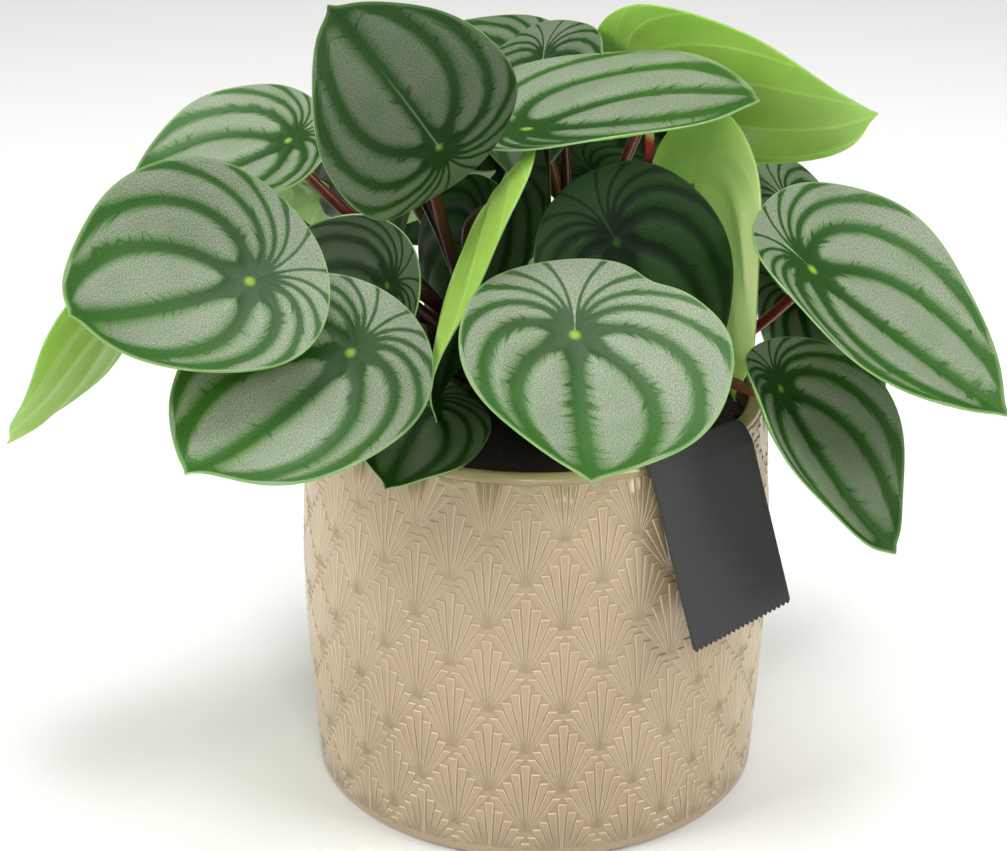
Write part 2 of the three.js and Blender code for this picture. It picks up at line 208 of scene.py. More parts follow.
def spun_profile(points: Points, steps: int) -> BMesh:
    """Spins a profile round the Z axis into a closed, outward-facing mesh.

    Args:
        points: Radius and height of each point, in order, ending on the axis at both ends.
        steps: Steps in the full turn.

    Returns:
        The mesh.
    """
    bm = bmesh.new()
    verts = [bm.verts.new((radius, 0, height)) for radius, height in points]
    for lower, upper in zip(verts, verts[1:]):
        bm.edges.new((lower, upper))
    spin_full(bm, steps, 1e-4)
    bmesh.ops.recalc_face_normals(bm, faces=bm.faces)
    return bm


def spline_through(points: Sequence[Pair], steps: int) -> Points:
    """Points of a smooth curve through a few points, as a Catmull-Rom spline.

    Args:
        points: The points to pass.
        steps: Steps between each two of them.

    Returns:
        The curve's points, first and last included.
    """
    ends = [points[0], *points, points[-1]]
    curve = []
    for i in range(1, len(ends) - 2):
        a, b, c, d = (np.array(p, float) for p in ends[i - 1 : i + 3])
        for step in range(steps):
            t = step / steps
            cubic = (3 * b - a - 3 * c + d) * t**3 + (2 * a - 5 * b + 4 * c - d) * t**2
            curve.append(tuple((cubic + (c - a) * t + 2 * b) / 2))
    return [*curve, tuple(points[-1])]


# ---- leaf shape and pattern
@dataclass(frozen=True)
class LeafForm:
    """The form that every blade shares: outline, veins, relief and thickness, in mm."""

    joint_share: float = 0.27
    root_power: float = 0.5
    tip_power: float = 0.76
    length: float = 80.0
    width: float = 70.0
    thickness: float = 0.9
    margin_loss: float = 0.45
    edge_round: float = 0.16
    sweep: float = 0.88
    sweep_power: float = 2.1
    widest_room: float = 120
    lift: float = 0.35
    furrow: float = 1.05
    funnel: float = 0.5
    wave: float = 0.8
    # Each dark band's angle where it leaves the heart, in degrees, and its half width.
    bands: tuple[Pair, ...] = (
        (0, 2.2),
        (57, 1.9),
        (113, 1.5),
        (146, 0.9),
        (160, 0.6),
        (168.5, 0.45),
        (175.5, 0.35),
    )

    def outline(self, angle: Array) -> tuple[Array, Array]:
        """The flat outline for angles from the notch end, in shares of length and width."""
        along = (1 - np.cos(angle)) / 2
        widest = self.root_power / (self.root_power + self.tip_power)
        root = (along / widest) ** self.root_power
        tip = ((1 - along) / (1 - widest)) ** self.tip_power
        return along - self.joint_share, np.sign(np.sin(angle)) * root * tip / 2

    def start_angle(self, x: Array, y: Array, heart: Pair) -> Array:
        """The angle at which the vein through each point left the heart.

        Veins leave the heart straight, then sweep to the tip, most of all near the margin.

        Args:
            x: Millimetres along the standard blade from its joint.
            y: Millimetres across it.
            heart: The point on the standard blade where its veins meet.

        Returns:
            Angles from the tip's direction in radians, with no sign.
        """
        u, v = self.outline(np.linspace(0, FULL_TURN, 721))
        edge_x, edge_y = u * self.length - heart[0], v * self.width - heart[1]
        edge_angle = np.arctan2(edge_y, edge_x)
        order = np.argsort(edge_angle)
        seen = np.arctan2(y - heart[1], x - heart[0])
        edge_reach = np.hypot(edge_x, edge_y)[order]
        reach = np.interp(seen, edge_angle[order], edge_reach, period=FULL_TURN)
        to_tip = math.atan2(-heart[1], (1 - self.joint_share) * self.length - heart[0])
        angle = np.abs((seen - to_tip + math.pi) % FULL_TURN - math.pi)
        out = np.minimum(np.hypot(x - heart[0], y - heart[1]) / reach, 1) ** self.sweep_power
        bent = self.sweep * out
        start = angle.copy()
        # Newton's steps towards the start angle whose swept vein passes the point.
        for _ in range(14):
            back = (start / math.pi) ** 4
            start -= (start * (1 - bent * (1 - back)) - angle) / (1 - bent * (1 - 5 * back))
        return start

    def veins(self, x: Array, y: Array, heart: Pair) -> tuple[Array, Array, Array]:
        """Where points lie among the bands.

        Args:
            x: Millimetres along, as in start_angle.
            y: Millimetres across.
            heart: Where the veins meet.

        Returns:
            The start angle, the room in mm between veins that leave the heart one radian apart,
            and how deep the bands' furrows are, from 0 to 1.
        """
        step = 0.25
        start = self.start_angle(x, y, heart)
        slope_x = self.start_angle(x + step, y, heart) - self.start_angle(x - step, y, heart)
        slope_y = self.start_angle(x, y + step, heart) - self.start_angle(x, y - step, heart)
        slope = np.maximum(np.hypot(slope_x, slope_y), 1e-6)
        spacing = np.minimum(2 * step / slope, self.widest_room)
        furrow = np.zeros_like(x)
        for angle, half_width in self.bands:
            off = np.abs(start - math.radians(angle)) * spacing
            depth = half_width / self.bands[0][1] * np.exp(-((0.5 * off / half_width) ** 2))
            furrow = np.maximum(furrow, depth)
        return start, spacing, furrow

    def point_nodes(self, add: AddNode) -> tuple[NodeSocket, ...]:
        """Reads in a material where a point of a blade lies.

        Args:
            add: Adds a node to the material.

        Returns:
            The blade's layers, the place on the standard blade in mm, and the distance from the
            nearest band's middle, 1 at its edge.
        """
        layers = [
            add("Attribute", attribute_name=name).node.outputs["Fac"] for name in BLADE_LAYERS
        ]
        start = layers[BLADE_LAYERS.index("vein_start")]
        spacing = layers[BLADE_LAYERS.index("vein_spacing")]
        plan = add("UVMap", uv_map=PLAN_MAP)
        place = add("VectorMath", (plan, (self.length, self.width, 0)), operation="MULTIPLY")
        nearest: NodeSocket | float = 9.0
        for angle, half_width in self.bands:
            off = add("Math", (start, math.radians(angle)), operation="SUBTRACT")
            off = add("Math", (off,), operation="ABSOLUTE")
            off = add("Math", (off, half_width), operation="DIVIDE")
            nearest = add("Math", (off, nearest), operation="MINIMUM")
        return *layers, place, add("Math", (nearest, spacing), operation="MULTIPLY")


FORM = LeafForm()


# ---- finishes
class Finish:
    """A finish: `paint` lays its nodes and `material` closes them with a Principled shader."""

    title: str

    def paint(self, add: AddNode) -> dict[str, Any]:
        """Adds the finish's nodes and returns the shader's sockets by name."""
        raise NotImplementedError

    def material(self) -> Material:
        """Builds the finish's material under its own title."""
        material = bpy.data.materials.new(self.title)
        material.use_nodes = True
        material.node_tree.nodes.clear()
        add = partial(add_node, material.node_tree)
        add("OutputMaterial", {"Surface": add("BsdfPrincipled", self.paint(add))})
        return material


@dataclass(frozen=True)
class LeafUpperFinish(Finish):
    """A fleshy, waxy leaf face: grainy silver fields between dark green vein bands."""

    title: str = "peperomia_leaf_upper"
    silver: str = "79846e"
    silver_green: str = "5a724a"
    band_far: str = "2b5519"
    band_near: str = "1d4112"
    crease: str = "8fae7a"
    shade: str = "48703b"
    joint: str = "88a832"
    margin: str = "76955c"

    def paint(self, add: AddNode) -> dict[str, Any]:
        """Paints the face from the blade's map and layers, all lengths in mm."""
        seed, tone, creased, rim, spacing, start, heart, place, gap = FORM.point_nodes(add)
        # The silver ends in short teeth that run across the bands, about 1 mm apart.
        across = add("Math", (start, 10.0), operation="MULTIPLY")
        along = add("Math", (heart, 0.95), operation="MULTIPLY")
        spot = add("CombineXYZ", (along, across, seed))
        teeth = add("TexNoise", {"Vector": spot, "Scale": 1.3, "Detail": 2.0, "Roughness": 0.5})
        frayed = add("Math", (teeth, 0.4, gap), operation="MULTIPLY_ADD")
        # Side veins leave the bands every 4 mm or so, lean to the tip and thin out in the silver.
        along = add("Math", (gap, -1.8, heart), operation="MULTIPLY_ADD")
        across = add("Math", (start, 3.0), operation="MULTIPLY")
        spot = add("CombineXYZ", (along, across, seed))
        side = add("TexNoise", {"Vector": spot, "Scale": 0.18, "Detail": 1.0})
        ridge = add("Math", (side, 0.5), operation="SUBTRACT")
        ridge = add("Math", (ridge,), operation="ABSOLUTE")
        side_vein = add("MapRange", (ridge, 0.0, 0.028, 1.0, 0.0), **SMOOTH)
        side_fade = add("MapRange", (gap, 0.6, 5.0, 0.8, 0.0), **SMOOTH)
        side_dark = add("Math", (side_vein, side_fade), operation="MULTIPLY")
        # The bands run together at the heart and along the margin.
        near_heart = add("MapRange", (heart, 3.0, 11.0, 1.5, 0.0), **SMOOTH)
        near_edge = add("MapRange", (rim, 0.9, 0.99, 0.0, 0.8), **SMOOTH)
        for dark in (side_dark, near_heart, near_edge):
            frayed = add("Math", (frayed, dark), operation="SUBTRACT")
        # The silver is cloudy and greener next to the bands; the bands are darkest at the heart.
        cloud = {"Vector": place, "W": seed, "Scale": 0.075, "Detail": 2.0}
        cloud = add("TexNoise", cloud, noise_dimensions="4D")
        cloud = add("MapRange", (cloud, 0.3, 0.7, -0.35, 0.15))
        edge_fade = add("MapRange", (frayed, 1.2, 2.5), **SMOOTH)
        silvered = add("Math", (edge_fade, cloud), operation="ADD", use_clamp=True)
        silver = add("Mix", (silvered, self.silver_green, self.silver), **COLOUR)
        far = add("MapRange", (heart, 6.0, 40.0), **SMOOTH)
        band = add("Mix", (far, self.band_near, self.band_far), **COLOUR)
        field_mask = add("MapRange", (frayed, 0.75, 1.65), **SMOOTH)
        face = add("Mix", (field_mask, band, silver), **COLOUR)
        # Grain of the leaf's outer cells, drawn at 0.45 mm so that it shows.
        grain = add("TexNoise", {"Vector": place, "Scale": 2.2, "Detail": 3.0, "Roughness": 0.7})
        specks = add("MapRange", (grain, 0.3, 0.7, 0.15, 0.85))
        grey = add("CombineColor", (specks, specks, specks))
        face = add("Mix", (0.9, face, grey), **COLOUR, blend_type="OVERLAY")
        # Some leaves have a pale crease along the first half of the middle vein.
        off_middle = add("Math", (start, spacing), operation="MULTIPLY")
        on_middle = add("MapRange", (off_middle, 0.15, 0.5, 1.0, 0.0), **SMOOTH)
        first_half = add("MapRange", (heart, 15.0, 42.0, 1.0, 0.0), **SMOOTH)
        line = add("Math", (on_middle, first_half), operation="MULTIPLY")
        line = add("Math", (line, creased), operation="MULTIPLY")
        margin = add("MapRange", (rim, 0.972, 0.997, 0.0, 0.7), **SMOOTH)
        dot = add("MapRange", (heart, 0.3, 2.1, 0.85, 0.0), **SMOOTH)
        for mask, over in ((margin, self.margin), (dot, self.joint), (line, self.crease)):
            face = add("Mix", (mask, face, over), **COLOUR)
        # Painted shade: inner leaves are multiplied towards a deep green all over, and made less
        # glossy, standing in for the foliage's shade over them.
        face = add("Mix", (tone, face, self.shade), **COLOUR, blend_type="MULTIPLY")
        return {
            "Base Color": face,
            "Roughness": add("MapRange", (grain, 0.3, 0.7, 0.38, 0.52)),
            "Specular IOR Level": add("MapRange", (tone, 0.0, 1.0, 0.4, 0.15)),
            "Normal": add("Bump", {"Height": grain, "Strength": 0.6, "Distance": 0.2 * MM}),
            "IOR": LEAF_IOR,
        }


@dataclass(frozen=True)
class LeafUnderFinish(Finish):
    """The satin, bright yellow-green underside with faint pale veins, lit through the flesh."""

    title: str = "peperomia_leaf_underside"
    light: str = "a4c55f"
    deep: str = "7ba237"
    vein: str = "b6d47c"
    pale: str = "dfeeb0"

    def paint(self, add: AddNode) -> dict[str, Any]:
        """Paints the underside from the blade's map and layers, all lengths in mm."""
        seed, tone, _, _, _, start, heart, place, gap = FORM.point_nodes(add)
        cloud = {"Vector": place, "W": seed, "Scale": 0.06, "Detail": 3.0}
        cloud = add("TexNoise", cloud, noise_dimensions="4D")
        vein = add("MapRange", (gap, 0.1, 0.45, 0.4, 0.0), **SMOOTH)
        # Painted light: a negative value brightens the underside towards pale, standing in for
        # light shining through the leaf.
        painted_light = add("Math", (tone, -1.0), operation="MULTIPLY", use_clamp=True)
        face = self.light
        for mask, over in ((cloud, self.deep), (vein, self.vein), (painted_light, self.pale)):
            face = add("Mix", (mask, face, over), **COLOUR)
        # Shallow pleats, about 2 mm apart, that follow the veins.
        across = add("Math", (start, 14.0), operation="MULTIPLY")
        along = add("Math", (heart, 0.06), operation="MULTIPLY")
        spot = add("CombineXYZ", (across, along, seed))
        pleats = add("TexNoise", {"Vector": spot, "Scale": 1.0, "Detail": 2.0})
        return {
            "Base Color": face,
            "Roughness": 0.45,
            "Subsurface Weight": 1.0,
            "Subsurface Radius": (0.7, 1.0, 0.3),
            "Subsurface Scale": 2 * MM,
            "Normal": add("Bump", {"Height": pleats, "Strength": 0.35, "Distance": 0.4 * MM}),
            "IOR": LEAF_IOR,
        }


@dataclass(frozen=True)
class SkinFinish(Finish):
    """A moist plant skin, mottled between two colours, with more over it by its own layers."""

    title: str
    light: str
    dark: str
    patch: float
    detail: float
    roughness: float
    layers: tuple[tuple[str, str], ...] = ()

    def paint(self, add: AddNode) -> dict[str, Any]:
        """Paints patches some mm long by Object coordinates, then each layer's colour."""
        place = add("TexCoord").node.outputs["Object"]
        scale = 1 / (self.patch * MM)
        mottle = add("TexNoise", {"Vector": place, "Scale": scale, "Detail": self.detail})
        skin = add("Mix", (mottle, self.light, self.dark), **COLOUR)
        for layer, over in self.layers:
            mask = add("Attribute", attribute_name=layer).node.outputs["Fac"]
            skin = add("Mix", (mask, skin, over), **COLOUR)
        return {"Base Color": skin, "Roughness": self.roughness, "IOR": LEAF_IOR}


# The thin, pale, slightly clear edge of a fleshy blade.
MARGIN = SkinFinish("peperomia_leaf_margin", "97b97c", "628f46", 6, 2.0, 0.42)
# Smooth, shiny dark red stalks, green where they meet the blade, with painted shade darkening them
# deep in the crown.
STALK_LAYERS = (("near_blade", "8fae4c"), ("crown_painted_shade", "140807"))
STALK = SkinFinish("peperomia_stalk_skin", "7a1c17", "4c1210", 5, 3.0, 0.34, STALK_LAYERS)


@dataclass(frozen=True)
class GlazeFinish(Finish):
    """Glossy beige glaze on cast ceramic: cream where it thins on edges, darker on the lip."""

    title: str = "glazed_beige_ceramic"
    body: str = "a99376"
    pooled: str = "998363"
    thin: str = "d2c2a3"
    lip: str = "a3936a"
    lip_from: float = 119.6
    lip_to: float = 120.4

    def paint(self, add: AddNode) -> dict[str, Any]:
        """Paints the glaze by Object coordinates and the relief's edge layer."""
        place = add("TexCoord").node.outputs["Object"]
        cloud = add("TexNoise", {"Vector": place, "Scale": 1 / (28 * MM), "Detail": 3.0})
        mottle = add("MapRange", (cloud, 0.35, 0.75, 0.0, 0.6))
        edge = add("Attribute", attribute_name="glaze_edge").node.outputs["Fac"]
        height = add("SeparateXYZ", (place,)).node.outputs["Z"]
        on_lip = add("MapRange", (height, self.lip_from * MM, self.lip_to * MM), **SMOOTH)
        colour = self.body
        for mask, over in ((mottle, self.pooled), (edge, self.thin), (on_lip, self.lip)):
            colour = add("Mix", (mask, colour, over), **COLOUR)
        ripple = add("TexNoise", {"Vector": place, "Scale": 1 / (1.6 * MM), "Detail": 2.0})
        return {
            "Base Color": colour,
            "Roughness": 0.3,
            "Normal": add("Bump", {"Height": ripple, "Strength": 0.25, "Distance": 0.15 * MM}),
            "IOR": 1.5,
            "Coat Weight": 0.4,
            "Coat Roughness": 0.06,
        }


@dataclass(frozen=True)
class CardFinish(Finish):
    """Uncoated charcoal card with an embossed linen weave, its threads drawn 0.7 mm apart."""

    title: str = "charcoal_linen_card"
    card: str = "302f32"
    thread: str = "403f42"
    pitch: float = 0.7

    def paint(self, add: AddNode) -> dict[str, Any]:
        """Paints the weave by the card's own map, whose unit is CARD_UNIT millimetres."""
        plan = add("UVMap", uv_map=CARD_MAP)
        # At a scale of 1 a wave texture turns through 20 radians in one unit.
        scale = FULL_TURN / 20 * CARD_UNIT / self.pitch
        threads = {"Vector": plan, "Scale": scale, "Distortion": 0.8, "Detail": 1.0}
        warp, weft = (
            add("TexWave", threads, wave_type="BANDS", bands_direction=way) for way in ("X", "Y")
        )
        weave = add("Math", (warp, weft), operation="MULTIPLY")
        fibre = add("TexNoise", {"Vector": plan, "Scale": 90.0, "Detail": 3.0})
        mixed = add("Math", (weave, fibre), operation="MULTIPLY")
        return {
            "Base Color": add("Mix", (mixed, self.card, self.thread), **COLOUR),
            "Roughness": 0.8,
            "Normal": add("Bump", {"Height": weave, "Strength": 0.5, "Distance": 0.08 * MM}),
        }


@dataclass(frozen=True)
class SoilFinish(Finish):
    """Damp peat: nearly black, with brown fibre and a few paler grains."""

    title: str = "damp_potting_soil"
    peat: str = "120c09"
    brown: str = "2b1d14"
    grain: str = "66523f"

    def paint(self, add: AddNode) -> dict[str, Any]:
        """Paints crumbs of 2.5 mm and grains 3 mm apart by Object coordinates."""
        place = add("TexCoord").node.outputs["Object"]
        crumbs = add("TexNoise", {"Vector": place, "Scale": 1 / (2.5 * MM), "Detail": 4.0})
        grains = add("TexVoronoi", {"Vector": place, "Scale": 1 / (3 * MM)})
        pale = add("MapRange", (grains, 0.08, 0.14, 0.5, 0.0))
        colour = add("Mix", (crumbs, self.peat, self.brown), **COLOUR)
        return {
            "Base Color": add("Mix", (pale, colour, self.grain), **COLOUR),
            "Roughness": 0.95,
            "Normal": add("Bump", {"Height": crumbs, "Strength": 0.8, "Distance": 0.8 * MM}),
        }


@dataclass(frozen=True)
class StudioFinish(Finish):
    """Matt pale studio floor."""

    title: str = "pale_studio_floor"
    pale: str = "f4f4f2"

    def paint(self, add: AddNode) -> dict[str, Any]:
        """One even colour: `add` isn't needed."""
        return {"Base Color": self.pale, "Roughness": 0.9}


# ---- leaves
@dataclass
class Blade:
    """One leaf blade over its solid: place, size and bend as the solid has them."""

    name: str
    joint: Triple
    turn: Triple
    size: Pair
    bend: Pair
    heart: Pair = (0, 0)
    # Painted shade darkens the upper face, up to 1; below 0 it paints light on the underside.
    tone: float = 0.0
    crease: float = 0.0
    dents: tuple[Triple, ...] = ()
    drip_tip: float = 2.0
    drip_spread: float = 9
    rings: int = 34
    sectors: int = 168

    @property
    def rotation(self) -> Array:
        """The blade's turn as a matrix: tip along X, upper face towards Z."""
        heading, pitch, roll = (
            Matrix.Rotation(math.radians(angle), 3, axis) for angle, axis in zip(self.turn, "ZYX")
        )
        return np.array(heading @ pitch @ roll)

    def bent(self, x: Array, y: Array) -> Array:
        """Where flat points of the blade lie once its edges cup and its tip droops."""
        length, width = self.size
        cup = math.radians(self.bend[0] or 0.01) / (width / 2)
        droop = math.radians(self.bend[1] or 0.01) / ((1 - FORM.joint_share) * length)
        reach = 1 / droop + (1 - np.cos(cup * y)) / cup
        along, up = reach * np.sin(droop * x), reach * np.cos(droop * x) - 1 / droop
        return np.stack([along, np.sin(cup * y) / cup, up], axis=1)

    def plan(self, flat: Array, seed: float) -> tuple[Array, Array]:
        """Lays the points of a unit disc on the standard blade, its middle on the heart.

        Args:
            flat: Points of the unit disc, with the notch end at (1, 0).
            seed: Sets this blade's own margin apart from its neighbours'.

        Returns:
            Millimetres along and across the standard blade.
        """
        ring = np.minimum(np.hypot(flat[:, 0], flat[:, 1]), 1)
        angle = np.arctan2(flat[:, 1], flat[:, 0]) % FULL_TURN
        along, across = FORM.outline(angle)
        # No margin is quite even: it strays by about 0.3 mm three and seven times round.
        trim = 1 + 0.008 * np.sin(3 * angle + seed) + 0.004 * np.sin(7 * angle + 2 * seed)
        for centre, depth, spread in self.dents:
            away = (angle - math.radians(centre) + math.pi) % FULL_TURN - math.pi
            trim -= depth * np.exp(-((away / math.radians(spread)) ** 2))
        edge_x, edge_y = along * FORM.length * trim, across * FORM.width * trim
        off_tip = (angle - math.pi) / math.radians(self.drip_spread)
        edge_x += self.drip_tip * np.exp(-(off_tip**2))
        x = self.heart[0] + ring * (edge_x - self.heart[0])
        y = self.heart[1] + ring * (edge_y - self.heart[1])
        return x, y

    def shape(self, flat: Array, seed: float) -> tuple[Array, dict[str, Array]]:
        """Places the points of a unit disc on the finished blade.

        Args:
            flat: Points of the unit disc, with the notch end at (1, 0).
            seed: Sets this blade's own small waves apart from its neighbours'.

        Returns:
            World points in millimetres, and the values of the blade's layers.
        """
        ring = np.minimum(np.hypot(flat[:, 0], flat[:, 1]), 1)
        angle = np.arctan2(flat[:, 1], flat[:, 0])
        plan_x, plan_y = self.plan(flat, seed)
        heart_mm = np.hypot(plan_x - self.heart[0], plan_y - self.heart[1])
        start, spacing, furrow = FORM.veins(plan_x, plan_y, self.heart)
        x, y = plan_x * self.size[0] / FORM.length, plan_y * self.size[1] / FORM.width
        step = 0.05
        points = self.bent(x, y)
        normals = np.cross(self.bent(x + step, y) - points, self.bent(x, y + step) - points)
        normals /= np.linalg.norm(normals, axis=1, keepdims=True)
        # The furrows fade out within 6 mm of the heart, where a funnel 5 mm wide takes over.
        furrow = furrow * np.clip(heart_mm / 6, 0, 1)
        funnel = FORM.funnel * np.exp(-((heart_mm / 5) ** 2))
        wave = FORM.wave * ring**4 * np.sin(5 * angle + 3 * seed)
        rise = FORM.lift + wave - (FORM.furrow * furrow + funnel) * np.minimum(1, (1 - ring) * 5)
        points = points + normals * rise[:, None]
        layers = {
            "leaf_seed": np.full_like(x, seed),
            "leaf_tone": np.full_like(x, self.tone),
            "leaf_crease": np.full_like(x, self.crease),
            "ring": ring,
            "vein_spacing": spacing,
            "vein_start": start,
            "from_heart": heart_mm,
            "plan_u": plan_x / FORM.length,
            "plan_v": plan_y / FORM.width,
        }
        return points @ self.rotation.T + np.array(self.joint), layers

    def disc(self) -> BMesh:
        """A flat unit disc of rings and sectors, spun from one subdivided edge."""
        bm = bmesh.new()
        edge = bm.edges.new((bm.verts.new((0, 0, 0)), bm.verts.new((1, 0, 0))))
        bmesh.ops.subdivide_edges(bm, edges=[edge], cuts=self.rings - 1)
        spin_full(bm, self.sectors, 1e-5)
        # The notch end turns over to -X, which mirrors the disc, so its faces turn round too.
        if sum(face.normal.z for face in bm.faces) > 0:
            bmesh.ops.reverse_faces(bm, faces=bm.faces)
        bm.verts.ensure_lookup_table()
        return bm

    def build(self, materials: Sequence[Material], seed: float) -> None:
        """Builds the blade's disc, its map and layers, and gives it its thickness.

        Args:
            materials: Upper face, underside and margin.
            seed: The blade's own number.
        """
        bm = self.disc()
        points, values = self.shape(np.array([vert.co for vert in bm.verts]), seed)
        layers = {name: bm.verts.layers.float.new(name) for name in BLADE_LAYERS}
        plan_map = bm.loops.layers.uv.new(PLAN_MAP)
        for index, vert in enumerate(bm.verts):
            vert.co = points[index]
            for name, layer in layers.items():
                vert[layer] = values[name][index]
        for face in bm.faces:
            for loop in face.loops:
                index = loop.vert.index
                loop[plan_map].uv = (values["plan_u"][index], values["plan_v"][index])
        node = f"blade_{self.name}"
        piece = finish_piece(f"leaf_{self.name}", bm, materials, [node])
        group = piece.vertex_groups.new(name="flesh")
        for index, ring in enumerate(values["ring"]):
            group.add([index], 1 - FORM.margin_loss * float(ring) ** 6, "REPLACE")
        flesh = {"thickness": FORM.thickness * MM, "offset": 0, "vertex_group": group.name}
        modify(piece, "flesh", "SOLIDIFY", **flesh, material_offset=1, material_offset_rim=2)
        edge = {"width": FORM.edge_round * MM, "segments": 2, "limit_method": "ANGLE"}
        modify(piece, "round_edge", "BEVEL", **edge, angle_limit=math.radians(50))


@dataclass
class BackSkirt:
    """The leaves shingled round the back, by the same rule and draw as their solids."""

    count: int = 3
    first_azimuth: float = 95
    step: float = 29
    radius: float = 72
    height: float = 138
    pitch: float = 44
    roll: float = 16
    length: float = 76
    width_share: float = 0.86
    bend: Pair = (18, 12)
    second: Triple = (-5, 25, -12)
    spread: tuple[float, float, float, float] = (3, 3, 4, 6)
    seed: int = 11
    multiplier: int = 16807
    modulus: int = 2147483647

    def blades(self) -> list[Blade]:
        """The skirt's blades, drawn in the solids' own order."""
        state = self.seed
        drawn = []
        for _ in range(4 * self.count):
            state = (state * self.multiplier) % self.modulus
            drawn.append(2 * (state - 1) / (self.modulus - 1) - 1)
        blades = []
        for i in range(self.count):
            varied = [amount * draw for amount, draw in zip(self.spread, drawn[4 * i :])]
            layer = i % 2
            azimuth = self.first_azimuth + i * self.step
            radius = self.radius + layer * self.second[0] + varied[0]
            height = self.height + layer * self.second[1] + varied[1]
            pitch = self.pitch + layer * self.second[2] + varied[2]
            length = self.length + varied[3]
            turn = math.radians(azimuth)
            joint = (radius * math.cos(turn), radius * math.sin(turn), height)
            size = (length, self.width_share * length)
            turns = (azimuth, pitch, self.roll)
            blades.append(Blade(f"skirt_{i + 1}", joint, turns, size, self.bend))
        return blades


DENTED = ((20, 0.1, 9),)  # the bite beside the notch: angle, depth share and spread in degrees
# Name, joint, turn, size and bend as the solid has them, then the heart's place, the painted shade
# (negative for painted light) and crease.
SEEN_BLADES = (
    Blade("front", (15, -67, 165), (-95, 28, -10), (83, 74), (17, -26), (2.6, -5.4), 0, 0, DENTED),
    Blade("front_left", (-55, -55, 154), (-134, 31, -17), (81, 69), (10, -32), (-2, 4)),
    Blade("left", (-81, -44, 176), (-141, 11, -40), (83, 69), (21, -33), (1, 7)),
    Blade("left_upper", (-73, 3, 194), (204, 22, -12), (61, 56), (21, -30), (-3, 2.9)),
    Blade(
        "top_left", (-28, -49, 211), (227, -53, -110), (65, 57), (13, 40), (-2.9, -0.7), 0.58, 0.8
    ),
    Blade("left_low", (-122, 12, 140), (-159, 68, 41), (75, 66), (11, -39)),
    Blade("left_inner", (-43, -22, 161), (-217, 38, -77), (60, 52), (57, 5), (-1.7, 1.8), tone=0.7),
    Blade("top", (1, 4, 205), (-31, -5, 3), (91, 86), (6, -8), (8, -19)),
    Blade("right_upper", (36, 54, 191), (-32, 16, -51), (91, 84), (24, -45)),
    Blade("back_top", (-8, 82, 193), (198, 17, -8), (78, 68), (2, 18), tone=0.4),
    Blade("crown_top", (2, 52, 202), (-103, 39, 23), (54, 46), (8, 16), tone=0.4),
    Blade("right_inner", (45, 6, 180), (-94, 67, -118), (85, 68), (5, -27), tone=-0.7),
    Blade("middle", (21, -38, 179), (-16, 58, 44), (75, 60), (-1, 27), tone=1.0),
    Blade("cupped", (-13, -25, 185), (-146, 51, -132), (83, 73), (40, -32), tone=0.9),
    Blade("shaded_left", (-17, 14, 159), (-201, 55, -54), (64, 54), (-11, 38), tone=1.0),
    Blade("rim_left", (-30, -41, 132), (-109, 12, -13), (46, 38), (-8, 13), tone=0.6),
    Blade("right", (80, -25, 169), (-25, 38, 7), (87, 73), (19, -8), (-1, -9)),
    Blade("right_low", (71, -37, 132), (-48, 49, -8), (68, 58), (39, -15), (-5, -4), tone=0.2),
    Blade("right_back", (80, 69, 148), (-26, 49, -1), (72, 63), (-5, 16), tone=0.4),
    Blade("right_back_low", (82, 62, 124), (2, 46, 36), (64, 56), (4, 15), tone=0.4),
    Blade("shaded_upper_left", (-47, 11, 189), (-230, 43, -89), (60, 52), (0, 18), tone=0.8),
    Blade("shaded_middle", (-4, 44, 162), (-109, 39, -84), (40, 36), (1, 17), tone=1.0),
    Blade("shaded_right", (21, 73, 158), (-31, 23, 0), (66, 58), (-1, 15), tone=1.0),
    Blade("left_back", (-80, 23, 177), (148, 19, 34), (63, 55), (0, 15), tone=0.4),
    Blade("back_left", (-21, 104, 159), (170, 53, -93), (60, 52), (16, 5), tone=1.0),
    Blade("back_right", (37, 112, 163), (-25, 49, 54), (56, 49), (1, -8), tone=1.0),
)


@dataclass
class Foliage:
    """Every leaf blade of the plant."""

    blades: list[Blade] = field(default_factory=lambda: [*SEEN_BLADES, *BackSkirt().blades()])

    def build(self) -> None:
        """Builds the blades, each with its own number for its pattern."""
        finishes = (LeafUpperFinish(), LeafUnderFinish(), MARGIN)
        materials = [finish.material() for finish in finishes]
        for number, blade in enumerate(self.blades):
            blade.build(materials, 1.7 * number + 0.4)


